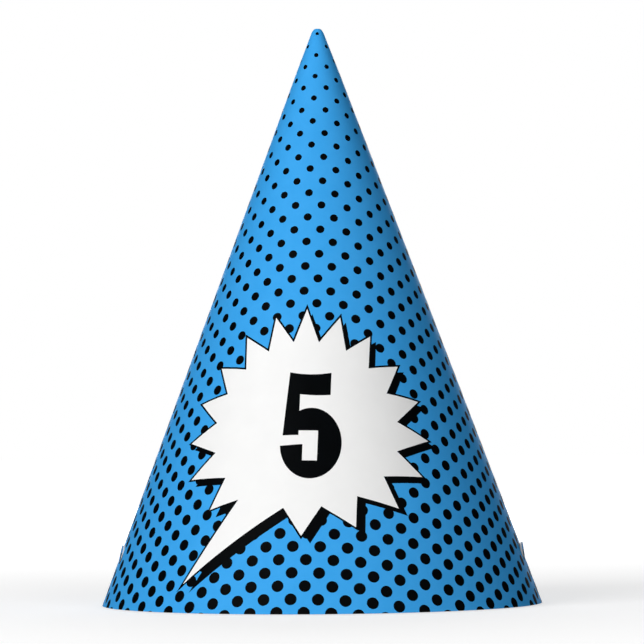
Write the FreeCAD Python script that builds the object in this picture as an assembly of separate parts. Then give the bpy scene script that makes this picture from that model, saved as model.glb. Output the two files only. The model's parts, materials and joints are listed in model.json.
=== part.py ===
"""Cone party hat: a die-cut printed card sheet, rolled into a cone and stuck along the back.

Frame: origin at the centre of the rim's plane, +Z up to the tip, -Y the printed front,
+Y the seam, +X and -X the sides, near which the strap tongues are. All sizes are in millimetres and degrees.
"""
import FreeCAD, Part

import os
from math import atan, cos, degrees, radians, sin

from FreeCAD import Placement, Rotation, Vector

# Driving dimensions of the cone
BASE_DIAMETER = 127.0       # outside, across the rim
APEX_HEIGHT = 170.7         # where the sloping sides would meet in a point
TIP_RADIUS = 1.45           # outside, where the rolled sheet ends at the top
CARD_THICKNESS = 0.40
ADHESIVE_THICKNESS = 0.10

# Seam, as angles round the cone from the outer layer's free edge
SEAM_AZIMUTH = 90.0         # the free edge of the outer layer, straight behind the front
JOG_START = 351.0           # here the sheet starts to dip below the free edge
JOG_END = 359.3
FLAP_END = 372.0            # end of the flap, which is 12 degrees under the outer layer
TAPE_START, TAPE_END = 0.8, 11.2
AROUND_ARCS = 3             # a full circle can't be a single arc
FLAP_ARCS = 6               # short ones, so that the thin tape keeps an even thickness when meshed

# Strap tongues, cut as a U with the fold at the bottom
TONGUE_WIDTH = 8.0
TONGUE_LENGTH = 4.6         # along the slope, from the fold to the free end
TONGUE_CORNER = 1.6         # radius of the two free corners
FOLD_HEIGHT = 12.9          # of the fold above the rim
FOLD_CLEARANCE = 0.08
SLIT = 0.20                 # width of the cut along the sides and over the end
FORWARD = 6.0               # how far each tongue is round towards the front from the side
TONGUE_AZIMUTH = {"left": 180.0 + FORWARD, "right": -FORWARD}
BENT_OUT = {"left": 7.0, "right": 12.0}                 # how far each stands out of the cone

# Worked out from the above
BASE_RADIUS = BASE_DIAMETER / 2
HALF_ANGLE = degrees(atan(BASE_RADIUS / APEX_HEIGHT))
TIP_HEIGHT = APEX_HEIGHT * (1 - TIP_RADIUS / BASE_RADIUS)
WALL = CARD_THICKNESS / cos(radians(HALF_ANGLE))        # level thickness of the sloping card
TAPE_WALL = ADHESIVE_THICKNESS / cos(radians(HALF_ANGLE))
TUCK = WALL + TAPE_WALL                                 # how far the flap lies inside


def on_circle(radius, azimuth, height):
    angle = radians(SEAM_AZIMUTH + azimuth)
    return Vector(radius * cos(angle), radius * sin(angle), height)


def along_circle(azimuth):
    """Unit direction of travel round the cone."""
    angle = radians(SEAM_AZIMUTH + azimuth)
    return Vector(-sin(angle), cos(angle), 0)


def arcs(radius, start, end, height, count):
    """A row of equal arcs from one azimuth to another."""
    step = (end - start) / count
    edges = []
    for i in range(count):
        first, middle, last = (on_circle(radius, start + (i + j) * step, height) for j in (0, 0.5, 1))
        edges.append(Part.Arc(first, middle, last).toShape())
    return edges


def jog(radius, height):
    """S-shaped edge from the full radius down to the tucked one, level with the circle at both ends."""
    first = on_circle(radius, JOG_START, height)
    last = on_circle(radius - TUCK, JOG_END, height)
    reach = (last - first).Length / 3
    leaving = first + along_circle(JOG_START) * reach
    arriving = last - along_circle(JOG_END) * reach
    curve = Part.BezierCurve()
    curve.setPoles([first, leaving, arriving, last])
    return curve.toShape()


def backwards(edge):
    """The same edge, run from its end to its start."""
    curve = edge.Curve.toBSpline(edge.FirstParameter, edge.LastParameter)
    curve.reverse()
    return curve.toShape()


def sheet_side(radius, height):
    """Edges of one side of the rolled sheet, from the outer free edge round to the end of the flap."""
    around = arcs(radius, 0, JOG_START, height, AROUND_ARCS)
    flap = arcs(radius - TUCK, JOG_END, FLAP_END, height, FLAP_ARCS)
    return around + [jog(radius, height)] + flap


def closed_section(outer, inner):
    """A wire round two rows of edges that run side by side."""
    last_outer, last_inner = outer[-1].lastVertex(True).Point, inner[-1].lastVertex(True).Point
    first_outer, first_inner = outer[0].firstVertex(True).Point, inner[0].firstVertex(True).Point
    far_end = Part.LineSegment(last_outer, last_inner).toShape()
    near_end = Part.LineSegment(first_inner, first_outer).toShape()
    return Part.Wire(outer + [far_end] + [backwards(edge) for edge in reversed(inner)] + [near_end])


def sheet_section(radius, height):
    return closed_section(sheet_side(radius, height), sheet_side(radius - WALL, height))


def rolled_sheet():
    """The whole card, with no tongues cut in it yet."""
    rim = sheet_section(BASE_RADIUS, 0)
    top = sheet_section(TIP_RADIUS, TIP_HEIGHT)
    return Part.makeLoft([rim, top], True, True)


def adhesive_strip():
    """Double-sided tape between the two layers of the seam."""
    sections = []
    for radius, height in ((BASE_RADIUS, 0), (TIP_RADIUS, TIP_HEIGHT)):
        outer = arcs(radius - WALL, TAPE_START, TAPE_END, height, FLAP_ARCS)
        inner = arcs(radius - WALL - TAPE_WALL, TAPE_START, TAPE_END, height, FLAP_ARCS)
        sections.append(closed_section(outer, inner))
    return Part.makeLoft(sections, True, True)


def cone_shell():
    """A plain seamless wall of card, which the tongues are cut from."""
    outer = Part.makeCone(BASE_RADIUS, TIP_RADIUS, TIP_HEIGHT)
    inner = Part.makeCone(BASE_RADIUS - WALL, TIP_RADIUS - WALL, TIP_HEIGHT)
    return outer.cut(inner)


def fold_placement(azimuth):
    """Puts local X along the fold, local Y up the slope and local Z straight out of the card."""
    radius = BASE_RADIUS * (1 - FOLD_HEIGHT / APEX_HEIGHT)
    stand = Placement(Vector(radius, 0, FOLD_HEIGHT), Rotation(Vector(0, 1, 0), 90 - HALF_ANGLE))
    upright = Placement(Vector(), Rotation(Vector(0, 0, 1), 90))
    return Placement(Vector(), Rotation(Vector(0, 0, 1), azimuth)) * stand * upright


def tongue_punch(azimuth, grow, start):
    """A block through the card with the tongue's outline, `grow` larger at the sides and the end."""
    half = TONGUE_WIDTH / 2 + grow
    end = TONGUE_LENGTH + grow
    corner = TONGUE_CORNER + grow
    bevel = corner * (1 - cos(radians(45)))
    lines = [
        Part.LineSegment(Vector(-half, start), Vector(half, start)),
        Part.LineSegment(Vector(half, start), Vector(half, end - corner)),
        Part.Arc(Vector(half, end - corner), Vector(half - bevel, end - bevel), Vector(half - corner, end)),
        Part.LineSegment(Vector(half - corner, end), Vector(corner - half, end)),
        Part.Arc(Vector(corner - half, end), Vector(bevel - half, end - bevel), Vector(-half, end - corner)),
        Part.LineSegment(Vector(-half, end - corner), Vector(-half, start)),
    ]
    face = Part.Face(Part.Wire([line.toShape() for line in lines]))
    depth = 4 * CARD_THICKNESS
    face.translate(Vector(0, 0, -depth))
    block = face.extrude(Vector(0, 0, 2 * depth))
    block.Placement = fold_placement(azimuth) * block.Placement
    return block


def strap_tongue(side):
    """One tongue, turned out about the fold, whose line lies in the card's outer face."""
    azimuth = TONGUE_AZIMUTH[side]
    flat = cone_shell().common(tongue_punch(azimuth, 0, FOLD_CLEARANCE))
    place = fold_placement(azimuth)
    fold_line = place.Rotation.multVec(Vector(1, 0, 0))
    turned = flat.copy()
    turned.rotate(place.Base, fold_line, BENT_OUT[side])
    return turned


def single_solid(shape, name):
    solids = shape.Solids
    assert len(solids) == 1 and solids[0].isValid(), name
    return solids[0]


def main():
    os.makedirs("parts", exist_ok=True)
    card = rolled_sheet()
    for azimuth in TONGUE_AZIMUTH.values():
        card = card.cut(tongue_punch(azimuth, SLIT, 0))
    parts = {"cone_card": card, "seam_adhesive_strip": adhesive_strip()}
    for side in TONGUE_AZIMUTH:
        parts["strap_tongue_" + side] = strap_tongue(side)
    for name, shape in parts.items():
        solid = single_solid(shape, name)
        solid.exportStep("parts/" + name + ".step")
        print(name, "volume", round(solid.Volume, 2), "mm3, box", solid.optimalBoundingBox(False))


main()
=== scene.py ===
"""Looks of the cone party hat: the rolled card, the inks printed on it, its strap tongues and the studio.

The card is laid out flat, as the fan it was cut from, and wrapped on the cone from there. A point of the
fan is (x, y) in millimetres from the cone's virtual point, with x to the right and y down the front.
Everything in Blender is in metres.
"""

import json
from math import acos, atan, atan2, cos, degrees, exp, hypot, pi, radians, sin, sqrt

import bpy
from mathutils import Matrix, Vector
from mathutils.geometry import delaunay_2d_cdt


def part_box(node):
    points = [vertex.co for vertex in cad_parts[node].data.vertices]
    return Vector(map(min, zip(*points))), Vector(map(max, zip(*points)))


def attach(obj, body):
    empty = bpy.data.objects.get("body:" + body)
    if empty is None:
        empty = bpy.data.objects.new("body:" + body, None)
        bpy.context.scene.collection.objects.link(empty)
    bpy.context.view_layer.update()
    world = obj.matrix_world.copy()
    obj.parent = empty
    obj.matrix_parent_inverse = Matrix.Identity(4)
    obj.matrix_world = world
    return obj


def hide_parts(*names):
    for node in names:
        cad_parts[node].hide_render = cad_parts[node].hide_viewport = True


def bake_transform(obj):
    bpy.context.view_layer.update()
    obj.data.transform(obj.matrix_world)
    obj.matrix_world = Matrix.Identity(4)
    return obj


MM = 0.001

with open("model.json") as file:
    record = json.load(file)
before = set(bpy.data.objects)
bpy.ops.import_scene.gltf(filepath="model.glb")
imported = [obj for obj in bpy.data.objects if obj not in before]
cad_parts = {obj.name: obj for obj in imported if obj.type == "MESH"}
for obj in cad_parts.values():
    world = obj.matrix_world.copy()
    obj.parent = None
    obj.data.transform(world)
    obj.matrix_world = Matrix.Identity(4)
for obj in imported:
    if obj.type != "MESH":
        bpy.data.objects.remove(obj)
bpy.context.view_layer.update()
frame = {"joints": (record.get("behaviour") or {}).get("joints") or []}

# The card, in millimetres and degrees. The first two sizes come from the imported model.
CARD_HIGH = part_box("cone_card")[1]
RIM_RADIUS = CARD_HIGH.x / MM
TIP_HEIGHT = CARD_HIGH.z / MM
TIP_RADIUS = 1.45
CARD = 0.40                 # thickness
TAPE = 0.10                 # thickness of the adhesive between the two layers of the seam
TAPE_SPAN = (0.8, 11.2)     # its azimuths from the free edge
JOG = (351.0, 359.3)        # azimuths from the free edge where the sheet dips below that edge
PRINT_END = 360.7           # the print stops just short of the adhesive
FLAP_END = 372.0
LIP, LIP_CLOSE = 1.4, 0.5   # length of the rounded lip at the top, and the share of its radius that it closes
WAIST, WAIST_LENGTH = 0.15, 16.0   # how much tighter the card is rolled at the top, and down to where

APEX_HEIGHT = TIP_HEIGHT / (1 - TIP_RADIUS / RIM_RADIUS)
HALF_ANGLE = atan(RIM_RADIUS / APEX_HEIGHT)
SPREAD = sin(HALF_ANGLE)    # fan angle for each unit of azimuth
RIM_SLANT = RIM_RADIUS / SPREAD
TIP_SLANT = TIP_RADIUS / SPREAD
TUCK = (CARD + TAPE) / cos(HALF_ANGLE)   # how much smaller the flap's radius is than the outer layer's

# Inks
INK = 0.02                  # thickness of the printed ground
OVERPRINT = 0.04            # height of the black, which is printed over it

# The artwork: x' to the right and y' down its own centre line, which is turned on the fan
ART_TURN = radians(2.63)
COLUMN_PITCH = 3.75         # half the spacing of dots along a row
ROW_PITCH = 3.79
DOT_START = (-0.45, 3.51)   # where column 0 meets row 0
DOT_SIZE, DOT_OFFSET, DOT_POWER = 0.227, 5.0, 0.384     # a dot's radius is SIZE * (slant + OFFSET) ** POWER
DOT_SIDES = 20
# Near the tip the lattice isn't even. Each pair is how much at the virtual point, and how far down it fades.
TIP_SQUEEZE, SQUEEZE_REACH = 2.4, 19.0  # the rows lie lower
TIP_NARROWING, NARROWING_REACH = 0.16, 32.0     # the columns lie closer, by a share of their spacing
TIP_DRIFT, DRIFT_REACH = 0.55, 60.0     # the columns lie further right

# The starburst balloon, clockwise from its top spike: the tip of each spike and the notch after it
SPIKES = (
    ((0.7, 92.5), (4.4, 102.5)),
    ((10.1, 94.6), (12.1, 104.5)),
    ((19.0, 99.1), (18.8, 108.9)),
    ((27.9, 106.4), (24.4, 115.5)),
    ((34.8, 115.5), (27.8, 123.5)),
    ((38.2, 126.8), (27.9, 132.4)),
    ((36.1, 138.4), (24.1, 140.6)),
    ((28.8, 149.4), (16.7, 147.4)),
    ((16.7, 156.5), (6.9, 151.0)),
    ((1.7, 159.7), (-3.6, 151.5)),
    ((-33.4, 170.7), (-16.9, 148.2)),
    ((-25.9, 150.0), (-21.4, 141.1)),
    ((-33.7, 139.4), (-25.4, 132.9)),
    ((-35.4, 127.8), (-25.7, 123.8)),
    ((-32.5, 116.4), (-22.6, 115.6)),
    ((-25.8, 107.0), (-16.8, 109.2)),
    ((-17.2, 99.3), (-9.9, 104.7)),
    ((-8.2, 94.6), (-2.7, 102.5)),
)
OUTLINE = 0.52              # width of the black line round it
# Its shadow is a copy, a little larger and turned about the virtual point, then shifted
SHADOW_SCALE, SHADOW_TURN, SHADOW_SHIFT = 1.010, 0.0150, (0.12, 0.6)

# The strap tongues
SIDES = ("left", "right")
JOINTS = {joint["name"]: joint for joint in frame["joints"]}
HINGES = {side: Vector(JOINTS[f"tongue_{side}_fold"]["pos_m"]) for side in SIDES}
TONGUE_AZIMUTHS = {side: atan2(hinge.x, -hinge.y) for side, hinge in HINGES.items()}     # from the front
FOLD_HEIGHT = HINGES["right"].z / MM
FOLD_SLANT = RIM_SLANT * (1 - FOLD_HEIGHT / APEX_HEIGHT)
TONGUE_WIDTH, TONGUE_LENGTH, TONGUE_CORNER = 8.0, 4.6, 1.6
CORNER_STEPS = 8
SLIT = 0.20
BENT_OUT = {"left": radians(7.0), "right": radians(12.0)}
ROOT = 1.0                  # how far the bending strip reaches below the fold
CREASE = 0.5                # half the height of the rounded crease

# Spacing of the lattice that lets flat outlines follow the card's curves
RULING_STEP = 1.5           # degrees of azimuth between the lines from tip to rim
RING_STEP = 7.0             # millimetres of slant between rings, where the card is straight
WAIST_STEP = 2.0
LIP_SHARES = (0.0, 0.03, 0.1, 0.22, 0.4, 0.65)          # where the lip's rings are, as shares of its length
TONGUE_STEP = 0.8
CREASE_STEP = 0.1
TONGUE_MARGIN = 1.0         # how far a tongue's lattice reaches past its two ends


# ---- The fan and the cone ----

def fan_point(slant, angle):
    return (slant * sin(angle), slant * cos(angle))


def fan_polar(point):
    """The slant and the fan angle of a point."""
    return hypot(*point), atan2(*point)


def art_point(x, y):
    """A point of the artwork on the fan."""
    return (x * cos(ART_TURN) - y * sin(ART_TURN), y * cos(ART_TURN) + x * sin(ART_TURN))


def smooth(t):
    """A gentle step, from 0 where t is 0 to 1 where it is 1."""
    t = min(max(t, 0.0), 1.0)
    return t * t * (3 - 2 * t)


def wrap(point, lift=0.0):
    """Where a point of the fan lies on the rolled card, `lift` above its outer face."""
    slant, angle = fan_polar(point)
    azimuth = angle / SPREAD                       # 0 at the front, positive to the right
    from_seam = degrees(azimuth) + 180
    radius = slant * SPREAD - TUCK * smooth((from_seam - JOG[0]) / (JOG[1] - JOG[0]))
    height = APEX_HEIGHT - slant * cos(HALF_ANGLE)
    below_tip = slant - TIP_SLANT
    radius -= WAIST * (1 - smooth(below_tip / WAIST_LENGTH))
    into_lip = min(max(1 - below_tip / LIP, 0.0), 1.0)
    radius *= 1 - LIP_CLOSE * (1 - sqrt(1 - into_lip ** 2))
    radius += lift * cos(HALF_ANGLE)
    height = max(height + lift * sin(HALF_ANGLE), 0.0)     # the rim is cut level
    return Vector((radius * sin(azimuth), -radius * cos(azimuth), height)) * MM


# ---- Outlines on the fan ----

def circle(centre, radius, sides):
    step = 2 * pi / sides
    return [(centre[0] + radius * cos(i * step), centre[1] + radius * sin(i * step)) for i in range(sides)]


def fade(y, reach):
    """From 1 at the virtual point to about a third at the reach."""
    return exp(-((y / reach) ** 2))


def lattice_dots():
    """Every halftone dot, as (centre on the fan, radius)."""
    dots = []
    rows = int(RIM_SLANT / ROW_PITCH) + 2
    for row in range(rows):
        for column in range(-rows, rows):
            x = DOT_START[0] + column * COLUMN_PITCH
            y = DOT_START[1] + row * ROW_PITCH
            slant = hypot(x, y)
            if (row + column) % 2 or slant > RIM_SLANT + ROW_PITCH:
                continue
            x *= 1 - TIP_NARROWING * fade(y, NARROWING_REACH)
            x += TIP_DRIFT * fade(y, DRIFT_REACH)
            y += TIP_SQUEEZE * fade(y, SQUEEZE_REACH)
            dots.append((art_point(x, y), DOT_SIZE * (slant + DOT_OFFSET) ** DOT_POWER))
    return dots


def shadow_of(points):
    """The outline's drop shadow: larger and turned about the virtual point, then shifted."""
    along, across = SHADOW_SCALE * cos(SHADOW_TURN), SHADOW_SCALE * sin(SHADOW_TURN)
    right, down = SHADOW_SHIFT
    return [(x * along + y * across + right, y * along - x * across + down) for x, y in points]


def outset(points, distance):
    """The outline moved outwards, with its corners kept sharp. The points run clockwise with y down."""
    moved = []
    count = len(points)
    for i in range(count):
        here = Vector(points[i])
        back = (here - Vector(points[i - 1])).normalized()
        ahead = (Vector(points[(i + 1) % count]) - here).normalized()
        outward_back = Vector((back.y, -back.x))
        outward_ahead = Vector((ahead.y, -ahead.x))
        corner = outward_back + outward_ahead
        moved.append(tuple(here + corner * distance / (1 + outward_back.dot(outward_ahead))))
    return moved


def arc(centre, axes, start, end, steps):
    """Points of an oval's arc, in degrees clockwise from the right with y down."""
    found = []
    for i in range(steps + 1):
        turn = radians(start + (end - start) * i / steps)
        found.append((centre[0] + axes[0] * cos(turn), centre[1] + axes[1] * sin(turn)))
    return found


def bowed(start, end, y, sag):
    """Points of a shallow curve across the artwork, lowest in the middle."""
    steps = 8
    shares = [i / steps for i in range(steps + 1)]
    return [(start + (end - start) * share, y + 4 * sag * share * (1 - share)) for share in shares]


def numeral_five():
    """A plain block 5: a bar, a stem that widens to its foot and a bowl with a square counter."""
    left, top = -3.3, 111.5
    bar_right, bar_foot = 8.25, 118.1
    stem_right = -0.25
    foot, foot_left = 130.2, -4.7
    bowl, axes = (3.25, 132.55), (8.6, 10.4)
    bowl_start = -degrees(acos((stem_right - bowl[0]) / axes[0]))
    bowl_end = 176
    bowl_steps = 48
    top_sag, foot_sag = 0.7, 0.3
    mouth_right, mouth = 1.0, 132.9
    counter_right, counter_top, counter_foot = 5.2, 128.85, 137.7
    outline = bowed(left, bar_right, top, top_sag) + bowed(bar_right, stem_right, bar_foot, foot_sag)
    outline += arc(bowl, axes, bowl_start, bowl_end, bowl_steps)
    outline += [(mouth_right, mouth), (mouth_right, counter_foot), (counter_right, counter_foot)]
    outline += [(counter_right, counter_top), (stem_right, counter_top)]
    outline += [(stem_right, foot), (foot_left, foot)]
    return outline


def on_art(points):
    return [art_point(x, y) for x, y in points]


def band(start, end):
    """The whole height of the fan between two azimuths from the free edge."""
    angles = rulings(start, end)
    rim = [fan_point(RIM_SLANT, angle) for angle in angles]
    tip = [fan_point(TIP_SLANT, angle) for angle in angles]
    return rim + tip[::-1]


def at_fold(side, x, y):
    """A point beside a tongue's fold, x along the fold and y up the slope, on the fan."""
    angle = TONGUE_AZIMUTHS[side] * SPREAD
    out, along = fan_point(1, angle), fan_point(1, angle + pi / 2)
    slant = FOLD_SLANT - y
    return (out[0] * slant + along[0] * x, out[1] * slant + along[1] * x)


def rounded_end(half, end, corner):
    """The free end of a strip: two quarter turns, from its right side over to its left."""
    centre = end - corner
    quarter = arc((0, 0), (corner, corner), 0, -90, CORNER_STEPS)
    right = [(half - corner + x, centre - y) for x, y in quarter]
    return right + [(-x, y) for x, y in reversed(right)]


def tongue_outline(side):
    """The tongue, with the strip of card below its fold that bends with it."""
    half = TONGUE_WIDTH / 2
    local = [(-half, -ROOT), (half, -ROOT), (half, 0)]
    local += rounded_end(half, TONGUE_LENGTH, TONGUE_CORNER) + [(-half, 0)]
    return [at_fold(side, x, y) for x, y in local]


def window_outline(side):
    """The hole that the tongue leaves in the sheet: a slit wider than it, above the fold."""
    half, wide = TONGUE_WIDTH / 2, TONGUE_WIDTH / 2 + SLIT
    local = [(-half, -ROOT), (half, -ROOT), (half, 0), (wide, 0)]
    local += rounded_end(wide, TONGUE_LENGTH + SLIT, TONGUE_CORNER + SLIT) + [(-wide, 0), (-half, 0)]
    return [at_fold(side, x, y) for x, y in local]


# ---- From flat outlines to thin solids ----

def rulings(start, end):
    """Fan angles of the straight lines of the cone between two azimuths from the free edge, both included."""
    first, last = int(start // RULING_STEP) + 1, int(-(-end // RULING_STEP)) - 1
    azimuths = [start] + [i * RULING_STEP for i in range(first, last + 1)] + [end]
    return [radians(azimuth - 180) * SPREAD for azimuth in azimuths]


def rings(start, end, step):
    """Slants evenly spaced between two slants, both included, at most `step` apart."""
    count = int((end - start) / step) + 1
    return [start + (end - start) * i / count for i in range(count + 1)]


def anticlockwise(outline):
    doubled_area = 0.0
    for (x0, y0), (x1, y1) in zip(outline, outline[1:] + outline[:1]):
        doubled_area += x0 * y1 - x1 * y0
    return outline if doubled_area > 0 else outline[::-1]


def arrange(outlines, slants, angles):
    """Triangles on the fan that cross neither an outline nor a line of the lattice of slants and angles.

    `outlines` is a list of (label, outline). Gives the points, and each triangle with the labels it lies in.
    """
    points = [fan_point(slant, angle) for slant in slants for angle in angles]
    across = len(angles)
    only_inside, tolerance = 1, 1e-6
    edges = []
    for i in range(len(points)):
        if i % across:
            edges.append((i - 1, i))
        if i >= across:
            edges.append((i - across, i))
    faces = []
    for label, outline in outlines:
        faces.append(range(len(points), len(points) + len(outline)))
        points += anticlockwise(outline)
    found = delaunay_2d_cdt([Vector(p) for p in points], edges, faces, only_inside, tolerance, True)
    spots, triangles, sources = found[0], found[2], found[5]
    labelled = [(tuple(t), {outlines[i][0] for i in source}) for t, source in zip(triangles, sources)]
    return spots, labelled


def facing(place, spot, lift):
    """The direction out of the sheet at a point of the fan."""
    step = 0.01
    across = place((spot[0] + step, spot[1]), lift) - place((spot[0] - step, spot[1]), lift)
    down = place((spot[0], spot[1] + step), lift) - place((spot[0], spot[1] - step), lift)
    return down.cross(across).normalized()


def thin_solid(name, spots, triangles, low, high, place, material):
    """A closed solid over the triangles, between two heights above the card's outer face."""
    used = sorted({i for triangle in triangles for i in triangle})
    index = {spot: i for i, spot in enumerate(used)}
    count = len(used)
    sides = ((high, 1), (low, -1))
    vertices = [place(spots[i], lift) for lift, _ in sides for i in used]
    normals = [facing(place, spots[i], lift) * sign for lift, sign in sides for i in used]
    faces, edges = [], set()
    for triangle in triangles:
        a, b, c = (index[i] for i in triangle)
        faces.append((a, c, b))
        faces.append((a + count, b + count, c + count))
        edges |= {(a, b), (b, c), (c, a)}
    skins = len(faces)
    faces += [(a, b, b + count, a + count) for a, b in sorted(edges) if (b, a) not in edges]
    mesh = bpy.data.meshes.new(name)
    mesh.from_pydata(vertices, [], faces)
    for i, polygon in enumerate(mesh.polygons):
        polygon.use_smooth = i < skins
    corner_normals = []
    for i, face in enumerate(faces):
        corner_normals += [normals[v] for v in face] if i < skins else [Vector()] * len(face)
    mesh.normals_split_custom_set(corner_normals)
    mesh.materials.append(material)
    piece = bpy.data.objects.new(name, mesh)
    bpy.context.scene.collection.objects.link(piece)
    return piece


# ---- Which parts of an arrangement each layer takes ----

def artwork():
    """The outlines printed in black or left white, each with its label."""
    balloon = [point for spike in SPIKES for point in spike]
    outlines = [("dot", circle(centre, radius, DOT_SIDES)) for centre, radius in lattice_dots()]
    outlines.append(("outline", on_art(outset(balloon, OUTLINE))))
    outlines.append(("shadow", on_art(shadow_of(balloon))))
    outlines.append(("panel", on_art(balloon)))
    outlines.append(("numeral", on_art(numeral_five())))
    return outlines


def is_card(labels):
    """The card lies under all of the print."""
    return True


def is_blue(labels):
    return "panel" not in labels


def is_black(labels):
    if "panel" in labels:
        return "numeral" in labels
    return not labels.isdisjoint({"dot", "outline", "shadow"})


def outside_windows(labelled, area, takes):
    """The triangles of an area of the cone, apart from the tongues' windows, that a layer takes."""
    return [t for t, labels in labelled if area in labels and "window" not in labels and takes(labels)]


# ---- Materials ----

def new_material(name):
    material = bpy.data.materials.new(name)
    material.use_nodes = True
    return material, material.node_tree.nodes, material.node_tree.links


def grain(nodes, links, size, detail=3.0, stretch=(1.0, 1.0, 1.0)):
    """Noise with features about `size` metres across, longer along an axis whose stretch is smaller."""
    place = nodes.new("ShaderNodeTexCoord")
    scaled = nodes.new("ShaderNodeMapping")
    scaled.inputs["Scale"].default_value = stretch
    noise = nodes.new("ShaderNodeTexNoise")
    noise.inputs["Scale"].default_value = 1 / size
    noise.inputs["Detail"].default_value = detail
    links.new(place.outputs["Object"], scaled.inputs["Vector"])
    links.new(scaled.outputs["Vector"], noise.inputs["Vector"])
    return noise.outputs["Fac"]


def ramp(nodes, links, value, low, high, colours):
    """Colour between two colours as the value goes from low to high."""
    colour = nodes.new("ShaderNodeValToRGB")
    for element, position, shade in zip(colour.color_ramp.elements, (low, high), colours):
        element.position = position
        element.color = (*shade, 1)
    links.new(value, colour.inputs["Fac"])
    return colour.outputs["Color"]


def between(nodes, links, value, low, high):
    """A number from low to high as the value goes over the noise's usual span."""
    spread = nodes.new("ShaderNodeMapRange")
    spread.inputs["From Min"].default_value = 0.3
    spread.inputs["From Max"].default_value = 0.7
    spread.inputs["To Min"].default_value = low
    spread.inputs["To Max"].default_value = high
    links.new(value, spread.inputs["Value"])
    return spread.outputs["Result"]


def roughen(nodes, links, shader, value, depth, strength):
    bump = nodes.new("ShaderNodeBump")
    bump.inputs["Distance"].default_value = depth
    bump.inputs["Strength"].default_value = strength
    links.new(value, bump.inputs["Height"])
    links.new(bump.outputs["Normal"], shader.inputs["Normal"])


def bare_card():
    """White card: pressed fibres, a little uneven in tone, with a soft calendered face."""
    material, nodes, links = new_material("white card")
    shader = nodes["Principled BSDF"]
    fibres = grain(nodes, links, 0.0005, 5.0, (1.0, 1.0, 0.35))
    clouds = grain(nodes, links, 0.006)
    tone = ramp(nodes, links, clouds, 0.25, 0.75, ((0.915, 0.915, 0.91), (0.94, 0.94, 0.935)))
    links.new(tone, shader.inputs["Base Color"])
    shader.inputs["Specular IOR Level"].default_value = 0.1
    links.new(between(nodes, links, fibres, 0.52, 0.64), shader.inputs["Roughness"])
    roughen(nodes, links, shader, fibres, 0.00003, 0.25)
    return material


def printed_ink(name, colours, gloss):
    """A flat of offset ink under a satin varnish, which follows the fibres of the card below."""
    material, nodes, links = new_material(name)
    shader = nodes["Principled BSDF"]
    fibres = grain(nodes, links, 0.0006, 4.0, (1.0, 1.0, 0.4))
    mottle = grain(nodes, links, 0.004)
    shader.inputs["Specular IOR Level"].default_value = 0.03
    links.new(ramp(nodes, links, mottle, 0.25, 0.75, colours), shader.inputs["Base Color"])
    links.new(between(nodes, links, fibres, *gloss), shader.inputs["Roughness"])
    roughen(nodes, links, shader, fibres, 0.00002, 0.2)
    return material


def blue_ink():
    return printed_ink("blue ink", ((0.042, 0.370, 0.845), (0.050, 0.394, 0.880)), (0.48, 0.58))


def black_ink():
    return printed_ink("black ink", ((0.0002, 0.0006, 0.0010), (0.0006, 0.0013, 0.0020)), (0.50, 0.60))


def adhesive():
    """Double-sided tape: milky and slightly yellow, with fine bubbles."""
    material, nodes, links = new_material("adhesive")
    shader = nodes["Principled BSDF"]
    bubbles = grain(nodes, links, 0.0008)
    tone = ramp(nodes, links, bubbles, 0.35, 0.65, ((0.70, 0.68, 0.60), (0.82, 0.80, 0.73)))
    links.new(tone, shader.inputs["Base Color"])
    links.new(between(nodes, links, bubbles, 0.25, 0.45), shader.inputs["Roughness"])
    roughen(nodes, links, shader, bubbles, 0.00003, 0.3)
    return material


# ---- The hat ----

def lip_and_rings():
    """The slants of the rings, from the tip down to the rim, closer together where the card curves."""
    lip = [TIP_SLANT + LIP * share for share in LIP_SHARES]
    waist_end = TIP_SLANT + WAIST_LENGTH
    return lip + rings(TIP_SLANT + LIP, waist_end, WAIST_STEP) + rings(waist_end, RIM_SLANT, RING_STEP)[1:]


def make_cone(card, blue, black):
    """The sheet, the blue printed on it and the black printed over that."""
    slants, angles = lip_and_rings(), rulings(0, FLAP_END)
    sheet = ("sheet", band(0, FLAP_END))
    print_area = ("print", band(0, PRINT_END))
    windows = [("window", window_outline(side)) for side in SIDES]
    panel = [row for row in artwork() if row[0] == "panel"]

    spots, labelled = arrange([sheet] + windows, slants, angles)
    chosen = outside_windows(labelled, "sheet", is_card)
    sheet_piece = thin_solid("printed_sheet", spots, chosen, -CARD, 0, wrap, card)

    spots, labelled = arrange([print_area] + windows + panel, slants, angles)
    chosen = outside_windows(labelled, "print", is_blue)
    ground = thin_solid("blue_print", spots, chosen, 0, INK, wrap, blue)

    near_tip = [slant for slant in slants if slant <= TIP_SLANT + WAIST_LENGTH]
    spots, labelled = arrange([print_area] + windows + artwork(), near_tip + [RIM_SLANT], angles)
    chosen = outside_windows(labelled, "print", is_black)
    figures = thin_solid("black_print", spots, chosen, 0, OVERPRINT, wrap, black)

    for piece in (sheet_piece, ground, figures):
        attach(piece, "cone")
    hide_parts("cone_card")


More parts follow.
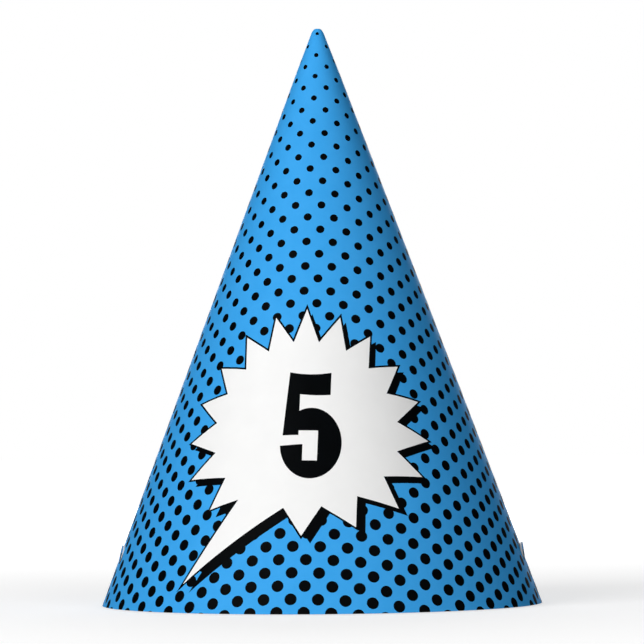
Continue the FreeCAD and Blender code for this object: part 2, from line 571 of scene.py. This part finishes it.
def make_tongue(side, card, blue, black):
    """One strap tongue, bent about its joint at rest and joined to the cone by the strip below its fold."""
    hinge, axis = HINGES[side], Vector(JOINTS[f"tongue_{side}_fold"]["axis"])
    azimuth = TONGUE_AZIMUTHS[side]

    def bent(point, lift):
        flat = wrap(point, lift)
        share = smooth((FOLD_SLANT - fan_polar(point)[0] + CREASE) / (2 * CREASE))
        return hinge + Matrix.Rotation(BENT_OUT[side] * share, 3, axis) @ (flat - hinge)

    middle = 180 + degrees(azimuth)
    reach = degrees(TONGUE_WIDTH / FOLD_SLANT / SPREAD)     # well past its sides
    angles = rulings(middle - reach, middle + reach)
    crease = rings(FOLD_SLANT - CREASE, FOLD_SLANT + CREASE, CREASE_STEP)
    end, root = FOLD_SLANT - TONGUE_LENGTH - TONGUE_MARGIN, FOLD_SLANT + ROOT + TONGUE_MARGIN
    slants = rings(end, crease[0], TONGUE_STEP)[:-1] + crease + [root]
    outline = ("tongue", tongue_outline(side))
    spots, labelled = arrange([outline] + artwork(), slants, angles)
    layers = (
        ("card", card, -CARD, 0, is_card),
        ("blue", blue, 0, INK, is_blue),
        ("black", black, 0, OVERPRINT, is_black),
    )
    for layer, material, low, high, takes in layers:
        chosen = [t for t, labels in labelled if "tongue" in labels and takes(labels)]
        piece = thin_solid(f"tongue_{side}_{layer}", spots, chosen, low, high, bent, material)
        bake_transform(piece)
        if layer == "card":
            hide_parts(f"strap_tongue_{side}")


def make_tape():
    """The adhesive, from tip to rim under the outer layer's free edge."""
    spots, labelled = arrange([("tape", band(*TAPE_SPAN))], lip_and_rings(), rulings(*TAPE_SPAN))
    chosen = [t for t, _ in labelled]
    tape = thin_solid("seam_tape", spots, chosen, -CARD - TAPE, -CARD, wrap, adhesive())
    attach(tape, "cone")
    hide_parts("seam_adhesive_strip")


# ---- Studio ----

CAMERA_PLACE = (0.0006, -1.0004, 0.0467)
CAMERA_PITCH = radians(1.99)
CAMERA_ROLL = radians(0.48)
LENS = 192.8

LAMP_DISTANCE = 1.5
WORLD_LEVEL = 0.06
FLOOR_HEIGHT = -0.0002
FLOOR_RADIUS, SURROUND_RADIUS = 9.0, 9.5


def make_camera():
    camera = bpy.data.objects.new("camera", bpy.data.cameras.new("camera"))
    camera.data.lens = LENS
    camera.data.sensor_width = 36
    camera.data.clip_start = 0.05
    upright = Matrix.Rotation(pi / 2 + CAMERA_PITCH, 4, "X")
    camera.matrix_world = Matrix.Translation(CAMERA_PLACE) @ upright @ Matrix.Rotation(-CAMERA_ROLL, 4, "Z")
    bpy.context.scene.collection.objects.link(camera)
    bpy.context.scene.camera = camera


def softbox(name, azimuth, elevation, width, height, level):
    """A rectangular light aimed at the hat. `level` is what a white card facing it would show."""
    light = bpy.data.lights.new(name, "AREA")
    light.shape = "RECTANGLE"
    light.size, light.size_y = width, height
    light.energy = level * (pi * LAMP_DISTANCE) ** 2
    lamp = bpy.data.objects.new(name, light)
    turn, rise = radians(azimuth), radians(elevation)
    away = Vector((sin(turn) * cos(rise), -cos(turn) * cos(rise), sin(rise)))
    target = Vector((0, 0, TIP_HEIGHT / 2 * MM))
    lamp.location = target + away * LAMP_DISTANCE
    lamp.rotation_euler = away.to_track_quat("Z", "Y").to_euler()
    lamp.visible_camera = False
    bpy.context.scene.collection.objects.link(lamp)


def pale_floor():
    """White and partly its own light, so that shadows on it stay faint, and plain white far from the hat."""
    material, nodes, links = new_material("floor")
    shader = nodes["Principled BSDF"]
    shader.inputs["Base Color"].default_value = (0.5, 0.5, 0.5, 1)
    shader.inputs["Roughness"].default_value = 0.9
    shader.inputs["Specular IOR Level"].default_value = 0.0
    shader.inputs["Emission Color"].default_value = (1, 1, 1, 1)
    # Painted glow: the floor's own light is weaker near the hat and full far away, so the floor is a little
    # darker round the hat and real shadows show there
    place = nodes.new("ShaderNodeTexCoord")
    away = nodes.new("ShaderNodeVectorMath")
    away.operation = "LENGTH"
    own_light = nodes.new("ShaderNodeMapRange")
    own_light.inputs["From Min"].default_value = 0.10
    own_light.inputs["From Max"].default_value = 0.9
    own_light.inputs["To Min"].default_value = 0.60
    own_light.inputs["To Max"].default_value = 1.0
    links.new(place.outputs["Object"], away.inputs[0])
    links.new(away.outputs["Value"], own_light.inputs["Value"])
    links.new(own_light.outputs["Result"], shader.inputs["Emission Strength"])
    return material


def white_surround():
    material, nodes, links = new_material("surround")
    glow = nodes.new("ShaderNodeEmission")
    glow.inputs["Color"].default_value = (1, 1, 1, 1)
    links.new(glow.outputs["Emission"], nodes["Material Output"].inputs["Surface"])
    return material


def make_stage():
    """A pale floor in a white surround. Neither throws light back on the hat."""
    place = (0, 0, FLOOR_HEIGHT)
    bpy.ops.mesh.primitive_circle_add(vertices=96, radius=FLOOR_RADIUS, fill_type="NGON", location=place)
    floor = bpy.context.object
    floor.name = "floor"
    floor.data.materials.append(pale_floor())
    bpy.ops.mesh.primitive_uv_sphere_add(segments=48, ring_count=24, radius=SURROUND_RADIUS)
    surround = bpy.context.object
    surround.name = "surround"
    surround.data.materials.append(white_surround())
    surround.visible_shadow = False
    for shell in (floor, surround):
        shell.visible_diffuse = False
        shell.visible_glossy = False


def make_light():
    world = bpy.data.worlds.new("studio")
    world.use_nodes = True
    world.node_tree.nodes["Background"].inputs["Color"].default_value = (1, 1, 1, 1)
    world.node_tree.nodes["Background"].inputs["Strength"].default_value = WORLD_LEVEL
    bpy.context.scene.world = world
    softbox("key", azimuth=-41, elevation=20, width=0.9, height=0.9, level=0.87)
    softbox("front", azimuth=28, elevation=20, width=0.7, height=0.9, level=0.34)
    softbox("back", azimuth=178, elevation=15, width=1.1, height=0.9, level=0.62)
    bpy.context.scene.view_settings.view_transform = "Standard"


card, blue, black = bare_card(), blue_ink(), black_ink()
make_cone(card, blue, black)
for side in SIDES:
    make_tongue(side, card, blue, black)
make_tape()
make_camera()
make_stage()
make_light()
